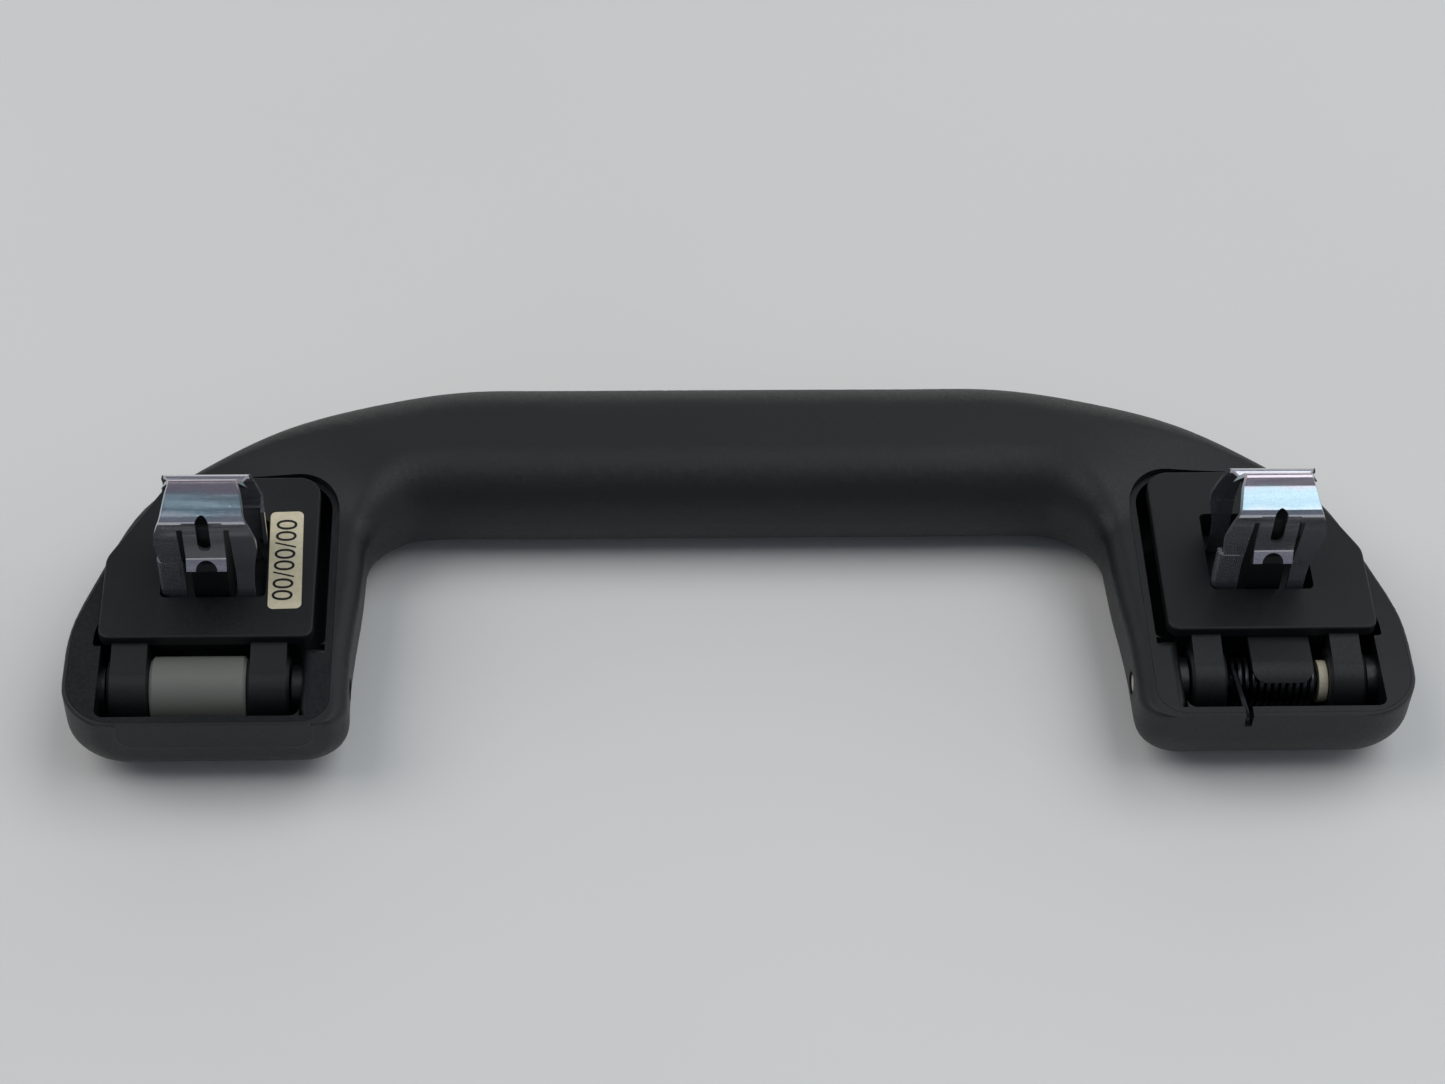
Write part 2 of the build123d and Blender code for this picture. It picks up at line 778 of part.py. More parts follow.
def make_clip():
    """Spring clip: one strip folded over the top, with four legs, two tongues and two tabs."""
    band = folded_band(
        (
            (-foot_half_depth, clip_bottom),
            (-foot_half_depth, foot_top),
            clip_waist,
            (clip_knee[0], clip_knee[1] - knee_height),
            clip_knee,
            clip_bend,
            clip_ridge,
            clip_valley,
            clip_crest,
            clip_shoulder,
            clip_bulge,
            (foot_half_depth, clip_waist[1]),
            (foot_half_depth, clip_bottom),
        ),
        fold_rounds,
        clip_knee[1],
    )
    front_tongue = folded_band(
        (
            (clip_knee[0] - lip_flare, lip_bottom),
            (clip_knee[0] - sheet / 4, lip_bend),
            (clip_knee[0], clip_knee[1] - sheet),
        ),
        (2 * sheet,),
        tongue_half_width,
    )
    rear_tongue = folded_band(
        (
            ((clip_crest[0] + clip_shoulder[0]) / 2, (clip_crest[1] + clip_shoulder[1]) / 2),
            clip_shoulder,
            (clip_bulge[0] - sheet / 4, lip_bend),
            (clip_bulge[0] + lip_flare, lip_bottom),
        ),
        (fold_rounds[8], 2 * sheet),
        tongue_half_width,
    )
    with BuildPart() as front:
        add(band)
        add(clip_half(False), mode=Mode.INTERSECT)
    with BuildPart() as clip:
        add(band)
        add(clip_half(True), mode=Mode.INTERSECT)
        with BuildSketch():
            with BuildLine():
                Polyline(
                    (ridge_half_width, 0),
                    (ridge_half_width, clip_valley[0]),
                    (rear_flank[-1][0], clip_crest[0]),
                    (2 * ridge_half_width, clip_crest[0]),
                    (2 * ridge_half_width, 0),
                    close=True,
                )
            make_face()
            mirror(about=Plane.YZ)
        extrude(amount=clip_ridge[1] + sheet, mode=Mode.SUBTRACT)
        add(front.part)
        add(front_tongue)
        add(rear_tongue)
        tab = clip_tab()
        add(tab)
        add(tab.rotate(Axis.Z, 180))
        with BuildSketch(Plane.XZ):
            with Locations((0, (slot_bottom + slot_top) / 2)):
                SlotOverall(slot_top - slot_bottom, slot_width, rotation=90)
            with Locations((0, lip_bottom)):
                Circle(lip_notch)
        extrude(amount=overall_width, mode=Mode.SUBTRACT)
    return clip.part


def make_wedge():
    """Plastic wedge that keeps the clip spread, pushed up through the recess floor."""
    step_top = wedge_step + 2 * wedge_waist
    with BuildPart() as wedge:
        with BuildSketch(Plane.YZ.offset(-wedge_half_width)):
            with BuildLine():
                FilletPolyline(
                    (wedge_front, head_top),
                    (wedge_front, wedge_step),
                    (wedge_front + wedge_waist, step_top),
                    (wedge_front + wedge_waist / 2, wedge_top),
                    (wedge_rear - 2.5 * wedge_waist, wedge_top),
                    (wedge_rear - 1.5 * wedge_waist, step_top),
                    (wedge_rear, wedge_step - 2 * wedge_waist),
                    (wedge_rear, head_top),
                    radius=(0, *[wedge_round] * 6, 0),
                    close=True,
                )
            make_face()
        extrude(amount=2 * wedge_half_width)
        head_x = (-head_half_width, head_half_width)
        head_y = (wedge_front - head_overhang, wedge_rear + head_overhang)
        add(extruded(plan_rectangle(head_x, head_y, bend_round), head_top - head_thickness, head_top))
    return wedge.part


def make_pin():
    """Hinge pin, from just inside the gap-side flank to the outer wall of the hinge frame."""
    with BuildPart() as pin:
        add(bore(pin_radius, pin_start, pin_end))
        chamfer(pin.edges().filter_by(GeomType.CIRCLE), pin_chamfer)
    return pin.part


def make_damper_body():
    """Damper housing with one closed end and a key that stops it turning in the bracket."""
    start, end = damper_span
    with BuildPart() as housing:
        add(ring_bar(damper_radius, damper_bore, start, end))
        add(ring_bar(damper_radius, rotor_radius + rotor_bearing_gap, end - damper_end_wall, end))
        chamfer(housing.edges().filter_by(GeomType.CIRCLE).group_by(SortBy.RADIUS)[-1], knuckle_edge)
        key_x = (damper_middle - key_length / 2, damper_middle + key_length / 2)
        key_y = (hinge_y + damper_radius - key_height / 2, hinge_y + box_front + box_wall / 2)
        add(extruded(plan_rectangle(key_x, key_y), hinge_z - key_height / 2, hinge_z + key_height / 2))
    return housing.part


def make_rotor():
    """Damper rotor fixed on the pin: a tube with a drum that drags through the damping grease."""
    start, end = damper_span
    bore_radius = pin_radius + pin_press
    with BuildPart() as rotor:
        add(ring_bar(rotor_radius, bore_radius, start + damper_end_gap, end - damper_end_gap))
        add(
            ring_bar(
                drum_radius, bore_radius, damper_middle - drum_length / 2, damper_middle + drum_length / 2
            )
        )
    return rotor.part


def make_seals():
    """Two rubber rings, one against each end wall of the damper."""
    start = damper_span[0] + damper_end_wall + seal_wire
    end = damper_span[1] - damper_end_wall - seal_wire
    with BuildPart() as rings:
        for x in (start, end):
            with Locations(hinge_line.offset(x)):
                Torus(seal_radius, seal_wire)
    return rings.part


def rod(first, last):
    """Straight wire from one point to another, rounded where it leaves the coil."""
    with BuildPart() as straight:
        with BuildSketch(Plane(origin=first, z_dir=Vector(*last) - Vector(*first))):
            Circle(wire / 2)
        extrude(amount=math.dist(first, last))
        with Locations(first):
            Sphere(wire / 2)
    return straight.part


def make_spring():
    """Torsion spring on the right pin: closed turns, a leg to the rim and a short tail."""
    pitch = (coil_end - coil_start) / coil_turns
    winding = Plane(origin=(coil_start, hinge_y, hinge_z), x_dir=(0, 0, 1), z_dir=(1, 0, 0))
    leg_start = (coil_start, hinge_y, hinge_z + coil_radius)
    tail_start = (coil_end, hinge_y, hinge_z + coil_radius)
    leg_stop = (leg_x, y_end + leg_end_inset, arm_height - leg_end_depth)
    tail_stop = (coil_end, hinge_y + tail_length, hinge_z + coil_radius)
    with BuildPart() as coil:
        with BuildLine() as turns:
            Helix(pitch, coil_end - coil_start, coil_radius, lefthand=True)
        with BuildSketch(Plane(origin=turns.line @ 0, z_dir=turns.line % 0)):
            Circle(wire / 2)
        sweep()
    with BuildPart() as spring:
        add(coil.part.moved(winding.location))
        add(rod(leg_start, leg_stop))
        add(rod(tail_start, tail_stop))
    return spring.part


def label_sheet(gap):
    """Paper label for the left plate, or with a gap the shallow seat that it is stuck in."""
    with BuildPart() as label:
        with BuildSketch(Plane.XY.offset(pad_top - label_gap - label_thickness - gap)) as outline:
            with Locations(Location((label_x, hinge_y + label_reach, 0), (0, 0, label_turn))):
                Rectangle(label_width + 2 * gap, label_length + 2 * gap)
            fillet(outline.vertices(), label_corner + gap)
        extrude(amount=label_thickness + 2 * gap)
    return label.part


with BuildPart() as handle_body:
    add(make_handle().part)
handle_body.part.label = "handle_body"
export_step(handle_body.part, "parts/handle_body.step")

with BuildPart() as right_hinge_frame:
    add(on_right(make_hinge_frame(spring_knuckles, True).part))
right_hinge_frame.part.label = "right_hinge_frame"
export_step(right_hinge_frame.part, "parts/right_hinge_frame.step")

with BuildPart() as left_hinge_frame:
    add(on_left(make_hinge_frame(damper_knuckles, False).part))
left_hinge_frame.part.label = "left_hinge_frame"
export_step(left_hinge_frame.part, "parts/left_hinge_frame.step")

with BuildPart() as right_pivot_pin:
    add(on_right(make_pin()))
right_pivot_pin.part.label = "right_pivot_pin"
export_step(right_pivot_pin.part, "parts/right_pivot_pin.step")

with BuildPart() as left_pivot_pin:
    add(on_left(make_pin()))
left_pivot_pin.part.label = "left_pivot_pin"
export_step(left_pivot_pin.part, "parts/left_pivot_pin.step")

with BuildPart() as right_bracket:
    add(on_right(make_bracket(spring_knuckles, True)))
right_bracket.part.label = "right_bracket"
export_step(right_bracket.part, "parts/right_bracket.step")

with BuildPart() as left_bracket:
    add(on_left(make_bracket(damper_knuckles, False)))
    add(on_left(label_sheet(label_gap)), mode=Mode.SUBTRACT)
left_bracket.part.label = "left_bracket"
export_step(left_bracket.part, "parts/left_bracket.step")

with BuildPart() as right_cap:
    add(on_right(make_cap()))
right_cap.part.label = "right_cap"
export_step(right_cap.part, "parts/right_cap.step")

with BuildPart() as left_cap:
    add(on_left(make_cap()))
left_cap.part.label = "left_cap"
export_step(left_cap.part, "parts/left_cap.step")

with BuildPart() as right_clip:
    add(make_clip().moved(Location((clip_x, clip_y, pad_top))))
right_clip.part.label = "right_clip"
export_step(right_clip.part, "parts/right_clip.step")

with BuildPart() as left_clip:
    add(make_clip().moved(Location((-clip_x, clip_y, pad_top))))
left_clip.part.label = "left_clip"
export_step(left_clip.part, "parts/left_clip.step")

with BuildPart() as right_lock_wedge:
    add(make_wedge().moved(Location((clip_x, clip_y, pad_top))))
right_lock_wedge.part.label = "right_lock_wedge"
export_step(right_lock_wedge.part, "parts/right_lock_wedge.step")

with BuildPart() as left_lock_wedge:
    add(make_wedge().moved(Location((-clip_x, clip_y, pad_top))))
left_lock_wedge.part.label = "left_lock_wedge"
export_step(left_lock_wedge.part, "parts/left_lock_wedge.step")

with BuildPart() as damper_body:
    add(on_left(make_damper_body()))
damper_body.part.label = "damper_body"
export_step(damper_body.part, "parts/damper_body.step")

with BuildPart() as damper_cap:
    cap_disc = ring_bar(
        damper_bore - seat_gap,
        rotor_radius + rotor_bearing_gap,
        damper_span[0],
        damper_span[0] + damper_end_wall,
    )
    add(on_left(cap_disc))
damper_cap.part.label = "damper_cap"
export_step(damper_cap.part, "parts/damper_cap.step")

with BuildPart() as damper_rotor:
    add(on_left(make_rotor()))
damper_rotor.part.label = "damper_rotor"
export_step(damper_rotor.part, "parts/damper_rotor.step")

with BuildPart() as damper_seals:
    add(on_left(make_seals()))
damper_seals.part.label = "damper_seals"
export_step(damper_seals.part, "parts/damper_seals.step")

with BuildPart() as return_spring:
    add(on_right(make_spring()))
return_spring.part.label = "return_spring"
export_step(return_spring.part, "parts/return_spring.step")

with BuildPart() as spring_washer:
    washer_end = spring_knuckles[1][0] - washer_gap
    washer_bore = pin_radius + pin_running
    washer_ring = ring_bar(washer_diameter / 2, washer_bore, washer_end - washer_thickness, washer_end)
    add(on_right(washer_ring))
spring_washer.part.label = "spring_washer"
export_step(spring_washer.part, "parts/spring_washer.step")

with BuildPart() as date_label:
    add(on_left(label_sheet(0)))
date_label.part.label = "date_label"
export_step(date_label.part, "parts/date_label.step")
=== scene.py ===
"""Looks of the roof grab handle: camera, light, floor, finishes and the finer pieces."""
import json
import math

import bpy
from mathutils import Matrix, Vector

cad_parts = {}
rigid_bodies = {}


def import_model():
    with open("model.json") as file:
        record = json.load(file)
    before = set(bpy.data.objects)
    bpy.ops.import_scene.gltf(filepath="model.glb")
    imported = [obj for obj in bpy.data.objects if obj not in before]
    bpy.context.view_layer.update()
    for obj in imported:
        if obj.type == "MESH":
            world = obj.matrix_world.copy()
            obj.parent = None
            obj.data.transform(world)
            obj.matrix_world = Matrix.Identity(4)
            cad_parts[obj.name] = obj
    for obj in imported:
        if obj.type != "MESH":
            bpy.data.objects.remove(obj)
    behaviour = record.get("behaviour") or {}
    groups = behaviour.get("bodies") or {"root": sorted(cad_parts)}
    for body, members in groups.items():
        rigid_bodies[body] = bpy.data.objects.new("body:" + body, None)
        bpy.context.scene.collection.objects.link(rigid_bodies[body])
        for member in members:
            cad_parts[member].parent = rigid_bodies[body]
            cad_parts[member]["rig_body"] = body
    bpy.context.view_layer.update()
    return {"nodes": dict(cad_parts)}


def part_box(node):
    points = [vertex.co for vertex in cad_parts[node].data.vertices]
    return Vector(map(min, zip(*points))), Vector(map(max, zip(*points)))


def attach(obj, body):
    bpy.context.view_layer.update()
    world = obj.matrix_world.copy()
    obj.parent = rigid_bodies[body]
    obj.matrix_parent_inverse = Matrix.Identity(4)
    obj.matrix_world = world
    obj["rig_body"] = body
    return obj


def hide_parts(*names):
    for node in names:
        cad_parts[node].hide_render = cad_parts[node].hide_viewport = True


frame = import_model()
nodes = frame["nodes"]

MM = 0.001
merge_distance = 0.002 * MM
smooth_angle = math.radians(26)
flat_face_weight = 60

# Camera, where the photograph was taken from
camera_place = Vector((-27.673, -359.27, 447.074)) * MM
camera_right = Vector((0.9989839, -0.0339795, 0.0296060))
camera_up = Vector((0.0070451, 0.7665840, 0.6421054))
camera_forward = Vector((0.0445138, 0.6412444, -0.7660444))
sensor_width = 36.0
photo_width = 1445
focal_pixels = 3216.0

# Heights between which the painted reflection bands run over the plating's faint tint, at the top of the
# clips
painted_band_low = 37.1 * MM
painted_band_high = 45.1 * MM
painted_band_waver = 1.2 * MM
hazy_below = 38.5 * MM
clear_above = 41.2 * MM

# Colour stops of the bands, from the feet up: lavender grey, painted highlight on the knee, blue slope, pink
# fold, green-grey ridge; the faint blue and pink tint is the plating's own, the banding by height is painted
# reflection
tint_and_reflection_stops = (
    (0.0, (0.50, 0.49, 0.54)),
    (0.35, (0.56, 0.55, 0.60)),
    (0.5, (0.62, 0.63, 0.68)),
    (0.58, (0.36, 0.49, 0.56)),
    (0.67, (0.40, 0.52, 0.58)),
    (0.74, (0.55, 0.47, 0.53)),
    (0.84, (0.60, 0.53, 0.57)),
    (1.0, (0.60, 0.60, 0.57)),
)

# Cut ends of the pins, the only bright part of them; along the rest of the length the dark colour is painted
# shade
pin_cut_x = min(abs(corner[0]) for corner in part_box("right_pivot_pin"))
pin_bright_depth = 0.6 * MM

# Label print
label_text = "00/00/00"
letter_share = 0.82
ink_thickness = 0.01 * MM

# Room and floor; the last colour is the wall as the camera sees it
floor_size = 6.0
floor_darker = (0.78, 0.77, 0.745)
floor_paler = (0.83, 0.82, 0.795)
room_dim = (0.16, 0.18, 0.215)
room_pale = (1.15, 1.14, 1.10)
room_seen = (0.72, 0.72, 0.71)


def deselect():
    """Nothing selected, so the next operator acts on its own object."""
    if bpy.context.object and bpy.context.object.mode != "OBJECT":
        bpy.ops.object.mode_set(mode="OBJECT")
    bpy.ops.object.select_all(action="DESELECT")


def take(obj):
    """Selects one object and makes it the active one."""
    deselect()
    obj.select_set(True)
    bpy.context.view_layer.objects.active = obj


def settle(obj):
    """Leaves the object's place, turn and size in its mesh."""
    take(obj)
    bpy.ops.object.transform_apply(location=True, rotation=True, scale=True)


class Shade:
    """A material's node tree, with short calls to add nodes and links."""

    def __init__(self, tree):
        self.tree = tree

    def node(self, kind, **settings):
        made = self.tree.nodes.new(kind)
        for key, value in settings.items():
            setattr(made, key, value)
        return made

    def link(self, start, end):
        self.tree.links.new(start, end)

    def noise(self, vector, scale, detail=2.0, rough=0.5):
        made = self.node("ShaderNodeTexNoise")
        made.inputs["Scale"].default_value = scale
        made.inputs["Detail"].default_value = detail
        made.inputs["Roughness"].default_value = rough
        self.link(vector, made.inputs["Vector"])
        return made.outputs["Fac"]

    def ramp(self, value, low, high, bottom=0.0, top=1.0):
        made = self.node("ShaderNodeMapRange")
        made.inputs["From Min"].default_value = low
        made.inputs["From Max"].default_value = high
        made.inputs["To Min"].default_value = bottom
        made.inputs["To Max"].default_value = top
        self.link(value, made.inputs["Value"])
        return made.outputs["Result"]

    def mix(self, mask, dark, pale):
        made = self.node("ShaderNodeMix", data_type="RGBA")
        made.inputs["A"].default_value = (*dark, 1)
        made.inputs["B"].default_value = (*pale, 1)
        self.link(mask, made.inputs["Factor"])
        return made.outputs["Result"]

    def maths(self, operation, first, second):
        made = self.node("ShaderNodeMath", operation=operation)
        for socket, value in zip(made.inputs, (first, second)):
            if isinstance(value, (int, float)):
                socket.default_value = value
            else:
                self.link(value, socket)
        return made.outputs[0]

    def place(self):
        return self.node("ShaderNodeTexCoord").outputs["Object"]


def new_group(name, inputs, outputs):
    """An empty shader node group with named number inputs and outputs."""
    group = bpy.data.node_groups.new(name, "ShaderNodeTree")
    for label, value in inputs.items():
        socket = group.interface.new_socket(name=label, in_out="INPUT", socket_type="NodeSocketFloat")
        socket.default_value = value
    for label in outputs:
        group.interface.new_socket(name=label, in_out="OUTPUT", socket_type="NodeSocketFloat")
    shade = Shade(group)
    return group, shade, shade.node("NodeGroupInput"), shade.node("NodeGroupOutput")


def make_grain_group():
    """Spark-eroded mould grain: a height and a mask of its hollows."""
    inputs = {"Scale": 1000.0, "Softness": 0.5}
    group, shade, given, result = new_group("mould_grain", inputs, ["Height", "Hollows"])
    place = shade.place()
    noise = shade.node("ShaderNodeTexNoise")
    noise.inputs["Detail"].default_value = 3.0
    shade.link(place, noise.inputs["Vector"])
    shade.link(given.outputs["Scale"], noise.inputs["Scale"])
    shade.link(given.outputs["Softness"], noise.inputs["Roughness"])
    cells = shade.node("ShaderNodeTexVoronoi", feature="SMOOTH_F1")
    shade.link(place, cells.inputs["Vector"])
    shade.link(given.outputs["Scale"], cells.inputs["Scale"])
    height = shade.maths("ADD", noise.outputs["Fac"], shade.maths("MULTIPLY", cells.outputs["Distance"], 0.6))
    shade.link(height, result.inputs["Height"])
    shade.link(shade.ramp(height, 0.55, 0.85), result.inputs["Hollows"])
    return group


def make_dust_group():
    """Handling marks and settled dust: broad smears and small pale specks."""
    group, shade, given, result = new_group("dust_and_rub", {"Amount": 0.5}, ["Smear", "Specks"])
    place = shade.place()
    smear = shade.ramp(shade.noise(place, 45.0, 4.0, 0.6), 0.45, 0.8)
    shade.link(shade.maths("MULTIPLY", smear, given.outputs["Amount"]), result.inputs["Smear"])
    cells = shade.node("ShaderNodeTexVoronoi")
    cells.inputs["Scale"].default_value = 420.0
    shade.link(place, cells.inputs["Vector"])
    spot = shade.ramp(cells.outputs["Distance"], 0.06, 0.03)
    thin = shade.ramp(shade.noise(place, 60.0), 0.56, 0.62)
    specks = shade.maths("MULTIPLY", shade.maths("MULTIPLY", spot, thin), given.outputs["Amount"])
    shade.link(specks, result.inputs["Specks"])
    return group


def make_drawn_group():
    """Fine lines that drawing or rolling leaves in metal, along one direction."""
    inputs = {"Along X": 1.0, "Along Y": 1.0, "Along Z": 1.0, "Scale": 400.0}
    group, shade, given, result = new_group("drawn_lines", inputs, ["Lines", "Clouds"])
    place = shade.place()
    stretch = shade.node("ShaderNodeCombineXYZ")
    for axis in "XYZ":
        shade.link(given.outputs["Along " + axis], stretch.inputs[axis])
    scaled = shade.node("ShaderNodeVectorMath", operation="MULTIPLY")
    shade.link(place, scaled.inputs[0])
    shade.link(stretch.outputs[0], scaled.inputs[1])
    lines = shade.node("ShaderNodeTexNoise")
    lines.inputs["Detail"].default_value = 4.0
    shade.link(scaled.outputs[0], lines.inputs["Vector"])
    shade.link(given.outputs["Scale"], lines.inputs["Scale"])
    shade.link(lines.outputs["Fac"], result.inputs["Lines"])
    shade.link(shade.noise(place, 160.0, 3.0), result.inputs["Clouds"])
    return group


grain = make_grain_group()
dust = make_dust_group()
drawn = make_drawn_group()


def new_material(name):
    """A material with one Principled shader, and its Shade helper."""
    material = bpy.data.materials.new(name)
    material.use_nodes = True
    shade = Shade(material.node_tree)
    return material, shade, material.node_tree.nodes["Principled BSDF"]


def use_group(shade, group, **values):
    """Places a shared effect in a material with that material's own values."""
    made = shade.node("ShaderNodeGroup", node_tree=group)
    for key, value in values.items():
        made.inputs[key.replace("_", " ")].default_value = value
    return made


def bump(shade, principled, height, depth):
    """Feeds a height to the shader's normal; depth is in metres."""
    made = shade.node("ShaderNodeBump")
    made.inputs["Distance"].default_value = depth
    made.inputs["Strength"].default_value = 1.0
    shade.link(height, made.inputs["Height"])
    shade.link(made.outputs["Normal"], principled.inputs["Normal"])


def moulded_plastic(name, dark, pale, rough, grains, depth, dust_amount, shine=0.25):
    """Moulded plastic with mould grain, handling smears and a few specks of dust.

    The grain has that many grains a metre and a depth in millimetres.
    """
    material, shade, principled = new_material(name)
    texture = use_group(shade, grain, Scale=grains)
    marks = use_group(shade, dust, Amount=dust_amount)
    tone = shade.maths("ADD", shade.maths("MULTIPLY", marks.outputs["Smear"], 0.25), marks.outputs["Specks"])
    shade.link(shade.mix(tone, dark, pale), principled.inputs["Base Color"])
    uneven = shade.maths("MULTIPLY", texture.outputs["Hollows"], 0.08)
    smeared = shade.maths("MULTIPLY", marks.outputs["Smear"], 0.12)
    total = shade.maths("ADD", shade.maths("ADD", uneven, smeared), rough)
    shade.link(total, principled.inputs["Roughness"])
    bump(shade, principled, texture.outputs["Height"], depth * MM)
    principled.inputs["IOR"].default_value = 1.5
    principled.inputs["Specular IOR Level"].default_value = shine
    return material


def spring_material():
    """Drawn spring wire under dark grease."""
    material, shade, principled = new_material("greased_spring_steel")
    texture = use_group(shade, drawn, Scale=500.0)
    tone = shade.ramp(texture.outputs["Clouds"], 0.35, 0.65)
    greased = shade.mix(tone, (0.014, 0.015, 0.017), (0.08, 0.085, 0.09))
    shade.link(greased, principled.inputs["Base Color"])
    shade.link(shade.ramp(texture.outputs["Lines"], 0.3, 0.7, 0.24, 0.44), principled.inputs["Roughness"])
    principled.inputs["Metallic"].default_value = 1.0
    bump(shade, principled, texture.outputs["Lines"], 0.004 * MM)
    return material


def zinc_material():
    """Zinc plating with a faint blue and pink tint, and painted reflections and a painted highlight laid over
    it in bands by height.
    """
    material, shade, principled = new_material("zinc_plated_steel")
    texture = use_group(shade, drawn, Along_X=0.06, Scale=900.0)
    place = shade.place()
    split = shade.node("ShaderNodeSeparateXYZ")
    shade.link(place, split.inputs[0])
    waver = shade.maths("MULTIPLY", texture.outputs["Clouds"], painted_band_waver)
    height = shade.maths("ADD", split.outputs["Z"], waver)
    # The colour ramp by height is painted reflection and a painted highlight on the knee, over the plating's
    # own faint tint
    reflection_bands = shade.node("ShaderNodeValToRGB")
    shade.link(shade.ramp(height, painted_band_low, painted_band_high), reflection_bands.inputs["Fac"])
    stops = reflection_bands.color_ramp.elements
    for share, _ in tint_and_reflection_stops[1:-1]:
        stops.new(share)
    for stop, (_, colour) in zip(stops, tint_and_reflection_stops):
        stop.color = (*colour, 1)
    speck = shade.ramp(shade.noise(place, 3200.0, 2.0, 0.7), 0.35, 0.65, 0.92, 1.05)
    tinted = shade.node("ShaderNodeVectorMath", operation="SCALE")
    shade.link(reflection_bands.outputs["Color"], tinted.inputs[0])
    shade.link(speck, tinted.inputs["Scale"])
    shade.link(tinted.outputs[0], principled.inputs["Base Color"])
    drawn_rough = shade.ramp(texture.outputs["Lines"], 0.3, 0.7, 0.13, 0.27)
    shade.link(shade.maths("MULTIPLY", speck, drawn_rough), principled.inputs["Roughness"])
    shade.link(shade.ramp(height, hazy_below, clear_above, 0.84, 0.97), principled.inputs["Metallic"])
    bump(shade, principled, texture.outputs["Lines"], 0.005 * MM)
    return material


def pin_material():
    """Steel rod, bright on its cut end, with painted shade along its length."""
    material, shade, principled = new_material("pin_steel")
    texture = use_group(shade, drawn, Along_X=0.1, Scale=500.0)
    split = shade.node("ShaderNodeSeparateXYZ")
    shade.link(shade.place(), split.inputs[0])
    side = shade.maths("ABSOLUTE", split.outputs["X"], 0.0)
    unshaded_cut_end = shade.ramp(side, pin_cut_x + pin_bright_depth, pin_cut_x)
    tone = shade.maths("MULTIPLY", unshaded_cut_end, shade.ramp(texture.outputs["Clouds"], 0.2, 0.6, 0.8, 1.0))
    # The dark colour is painted shade along the pin's length; the pale one is the cut end's own colour
    shade.link(shade.mix(tone, (0.03, 0.03, 0.032), (0.66, 0.60, 0.53)), principled.inputs["Base Color"])
    shade.link(shade.ramp(texture.outputs["Lines"], 0.3, 0.7, 0.3, 0.5), principled.inputs["Roughness"])
    principled.inputs["Metallic"].default_value = 0.6
    bump(shade, principled, texture.outputs["Lines"], 0.003 * MM)
    return material


def paper_material():
    """Uncoated cream paper with faint fibres."""
    material, shade, principled = new_material("cream_paper")
    place = shade.place()
    fibre = shade.noise(place, 900.0, 4.0, 0.7)
    cloud = shade.noise(place, 120.0)
    tone = shade.ramp(shade.maths("ADD", fibre, cloud), 0.8, 1.25)
    shade.link(shade.mix(tone, (0.62, 0.55, 0.37), (0.74, 0.68, 0.50)), principled.inputs["Base Color"])
    principled.inputs["Roughness"].default_value = 0.7
    bump(shade, principled, fibre, 0.01 * MM)
    return material


black = (0.0042, 0.0054, 0.0060)
plate_black = (0.0055, 0.0070, 0.0074)
dusty = (0.05, 0.052, 0.05)
grey = (0.155, 0.158, 0.142)
dusty_grey = (0.21, 0.21, 0.19)
cream = (0.62, 0.56, 0.42)
pale_cream = (0.8, 0.76, 0.64)
rubber_black = (0.012, 0.012, 0.012)
rubber_dust = (0.03, 0.03, 0.03)
ink_black = (0.012, 0.012, 0.014)
ink_worn = (0.03, 0.03, 0.034)

handle_plastic = moulded_plastic("satin_handle_plastic", black, dusty, 0.46, 2600, 0.02, 0.15, 0.46)
frame_plastic = moulded_plastic("glossy_frame_plastic", black, dusty, 0.3, 1500, 0.01, 0.3, 0.42)
bracket_plastic = moulded_plastic("bracket_plastic", plate_black, dusty, 0.42, 1800, 0.016, 0.3, 0.34)
damper_plastic = moulded_plastic("damper_grey", grey, dusty_grey, 0.36, 900, 0.01, 0.3, 0.4)
cream_plastic = moulded_plastic("cream_plastic", cream, pale_cream, 0.45, 900, 0.01, 0.3, 0.4)
seal_rubber = moulded_plastic("seal_rubber", rubber_black, rubber_dust, 0.6, 1200, 0.01, 0.2)
spring_steel = spring_material()
ink = moulded_plastic("printing_ink", ink_black, ink_worn, 0.6, 1500, 0.002, 0.4)
zinc_steel = zinc_material()
pin_steel = pin_material()
paper = paper_material()

# What each node is made of, and its slot in the record
finishes = {
    "handle_body": (handle_plastic, "handle_plastic"),
    "left_hinge_frame": (frame_plastic, "hard_plastic"),
    "right_hinge_frame": (frame_plastic, "hard_plastic"),
    "left_pivot_pin": (pin_steel, "pin_steel"),
    "right_pivot_pin": (pin_steel, "pin_steel"),
    "damper_rotor": (cream_plastic, "pale_plastic"),
    "return_spring": (spring_steel, "spring_steel"),
    "left_bracket": (bracket_plastic, "hard_plastic"),
    "left_clip": (zinc_steel, "zinc_steel"),
    "left_lock_wedge": (bracket_plastic, "hard_plastic"),
    "left_cap": (bracket_plastic, "hard_plastic"),
    "damper_body": (damper_plastic, "damper_plastic"),
    "damper_cap": (damper_plastic, "damper_plastic"),
    "damper_seals": (seal_rubber, "seal_rubber"),
    "date_label": (paper, "label_paper"),
    "right_bracket": (bracket_plastic, "hard_plastic"),
    "right_clip": (zinc_steel, "zinc_steel"),
    "right_lock_wedge": (bracket_plastic, "hard_plastic"),
    "right_cap": (bracket_plastic, "hard_plastic"),
    "spring_washer": (cream_plastic, "pale_plastic"),
}


def dress(obj, material):
    """One material on the whole object."""
    obj.data.materials.clear()
    obj.data.materials.append(material)


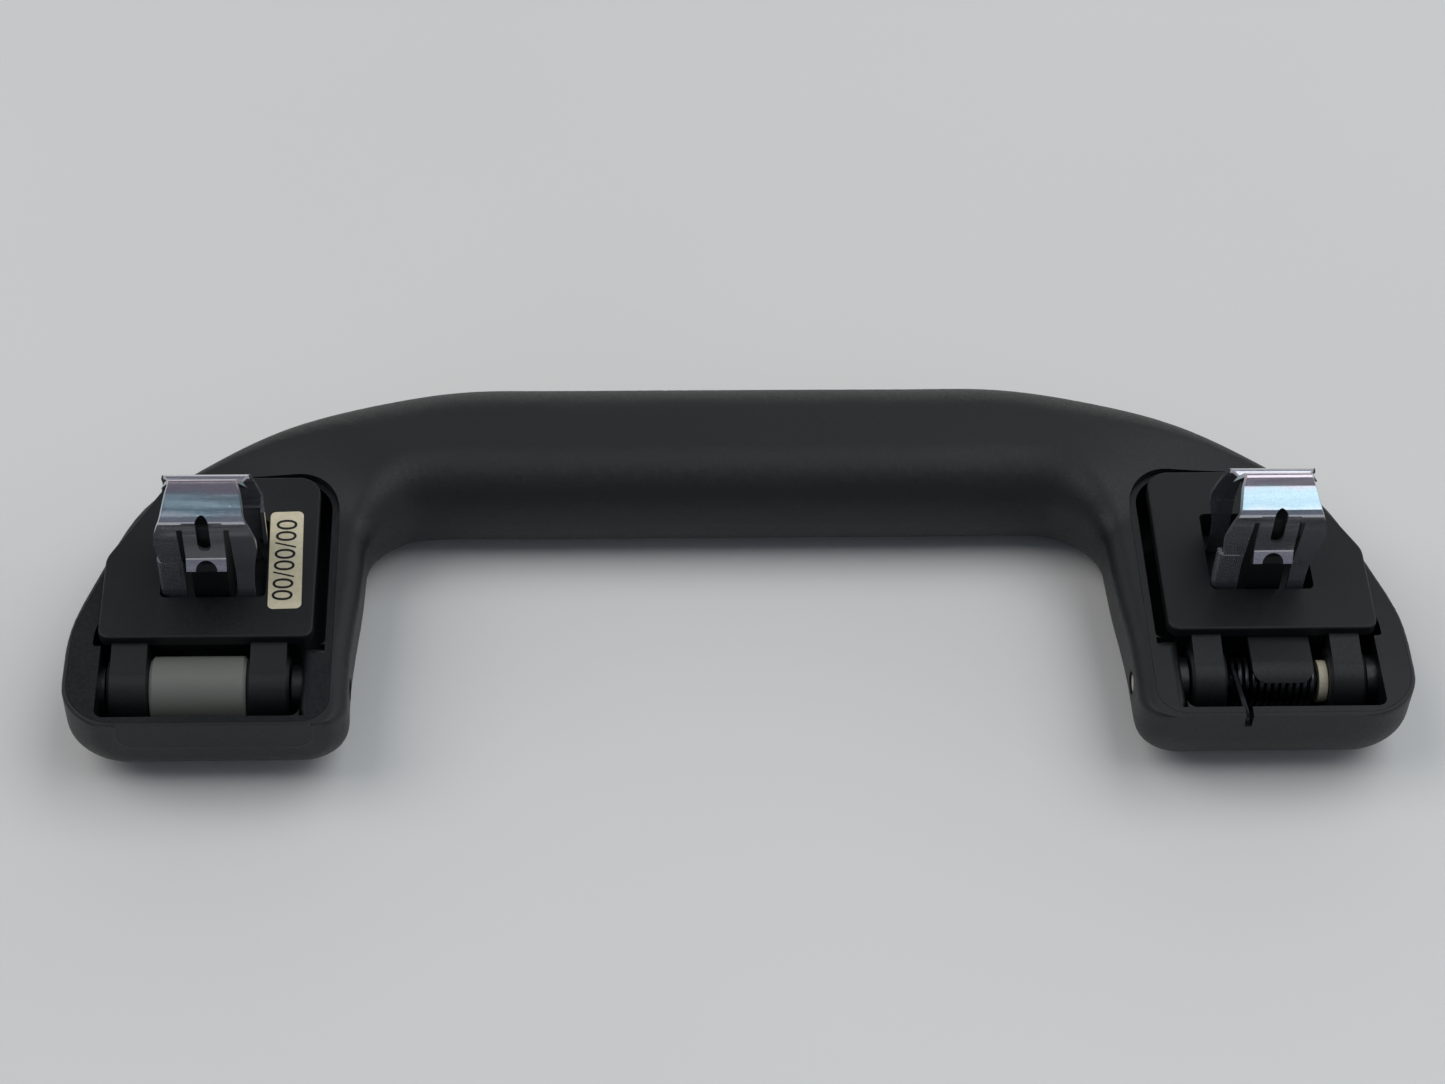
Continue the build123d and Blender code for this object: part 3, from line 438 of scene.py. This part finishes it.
def smooth_copy(name):
    """The node's shape with its facets joined and shaded smooth, standing for the node."""
    source = nodes[name]
    copy = source.copy()
    copy.data = source.data.copy()
    copy.name = name + "_surface"
    copy.parent = None
    for key in list(copy.keys()):
        del copy[key]
    bpy.context.scene.collection.objects.link(copy)
    take(copy)
    bpy.ops.mesh.customdata_custom_splitnormals_clear()
    bpy.ops.object.mode_set(mode="EDIT")
    bpy.ops.mesh.select_all(action="SELECT")
    bpy.ops.mesh.remove_doubles(threshold=merge_distance)
    bpy.ops.object.mode_set(mode="OBJECT")
    bpy.ops.object.shade_smooth_by_angle(angle=smooth_angle)
    bpy.ops.object.modifier_add(type="WEIGHTED_NORMAL")
    weighted = copy.modifiers[-1]
    weighted.keep_sharp = True
    weighted.weight = flat_face_weight
    bpy.ops.object.modifier_apply(modifier=weighted.name)
    material, slot = finishes[name]
    dress(copy, material)
    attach(copy, source["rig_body"])
    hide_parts(name)


for node_name, (finish, _) in finishes.items():
    dress(nodes[node_name], finish)

for node_name in finishes:
    smooth_copy(node_name)


def area_lamp(name, place, target, size, power, tint):
    """A soft rectangular lamp aimed at a point."""
    lamp = bpy.data.lights.new(name, "AREA")
    lamp.shape = "RECTANGLE"
    lamp.size, lamp.size_y = size
    lamp.energy = power
    lamp.color = tint
    obj = bpy.data.objects.new(name, lamp)
    bpy.context.scene.collection.objects.link(obj)
    obj.location = place
    obj.rotation_euler = (Vector(target) - Vector(place)).to_track_quat("-Z", "Y").to_euler()


def make_camera():
    """Camera at the photograph's place, looking the same way."""
    data = bpy.data.cameras.new("photo_camera")
    data.sensor_fit = "HORIZONTAL"
    data.sensor_width = sensor_width
    data.lens = focal_pixels / photo_width * sensor_width
    obj = bpy.data.objects.new("photo_camera", data)
    bpy.context.scene.collection.objects.link(obj)
    turn = Matrix((camera_right, camera_up, -camera_forward)).transposed().to_4x4()
    obj.matrix_world = Matrix.Translation(camera_place) @ turn
    bpy.context.scene.camera = obj


def make_floor():
    """Pale floor, a little uneven in tone."""
    deselect()
    bpy.ops.mesh.primitive_plane_add(size=floor_size, location=(0, 0, 0))
    floor = bpy.context.object
    floor.name = "floor"
    settle(floor)
    material, shade, principled = new_material("pale_floor")
    place = shade.place()
    tone = shade.ramp(shade.noise(place, 3.0, 3.0), 0.3, 0.7)
    shade.link(shade.mix(tone, floor_darker, floor_paler), principled.inputs["Base Color"])
    principled.inputs["Roughness"].default_value = 0.55
    dress(floor, material)


def make_world():
    """Soft room: pale low walls behind the handle, dim ceiling and dim on the side of the camera."""
    world = bpy.data.worlds.new("soft_room")
    bpy.context.scene.world = world
    world.use_nodes = True
    shade = Shade(world.node_tree)
    background = world.node_tree.nodes["Background"]
    direction = shade.node("ShaderNodeTexCoord").outputs["Generated"]
    split = shade.node("ShaderNodeSeparateXYZ")
    shade.link(direction, split.inputs[0])
    lean = shade.maths("ADD", split.outputs["Y"], shade.maths("MULTIPLY", split.outputs["X"], 0.7))
    low = shade.ramp(split.outputs["Z"], 0.62, 0.1)
    tone = shade.maths("MULTIPLY", low, shade.ramp(lean, -0.35, 0.6))
    room = shade.mix(tone, room_dim, room_pale)
    seen = shade.node("ShaderNodeMix", data_type="RGBA")
    shade.link(shade.node("ShaderNodeLightPath").outputs["Is Camera Ray"], seen.inputs["Factor"])
    shade.link(room, seen.inputs["A"])
    seen.inputs["B"].default_value = (*room_seen, 1)
    shade.link(seen.outputs["Result"], background.inputs["Color"])
    background.inputs["Strength"].default_value = 1.0


def make_label_print():
    """Plain numbers printed along the paper label."""
    low, high = [Vector(corner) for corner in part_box("date_label")]
    middle = (low + high) / 2
    deselect()
    bpy.ops.object.text_add(location=(middle.x, middle.y, high.z), rotation=(0, 0, math.pi / 2))
    words = bpy.context.object
    words.name = "label_numbers"
    words.data.body = label_text
    words.data.align_x = "CENTER"
    words.data.align_y = "CENTER"
    words.data.size = letter_share * (high.x - low.x)
    words.data.extrude = ink_thickness
    take(words)
    bpy.ops.object.convert(target="MESH")
    settle(words)
    dress(words, ink)
    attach(words, "left_bracket_body")


make_label_print()
make_camera()
make_floor()
make_world()
area_lamp("ceiling_lamp", (1.06, 0.2, 1.65), (1.06, 0.2, 0), (1.7, 1.8), 16.0, (0.94, 0.98, 1.0))
area_lamp("left_lamp", (-1.35, 0.1, 1.6), (-0.6, 0.0, 0), (1.3, 1.8), 14.0, (1.0, 0.98, 0.96))

bpy.context.scene.view_settings.view_transform = "Standard"
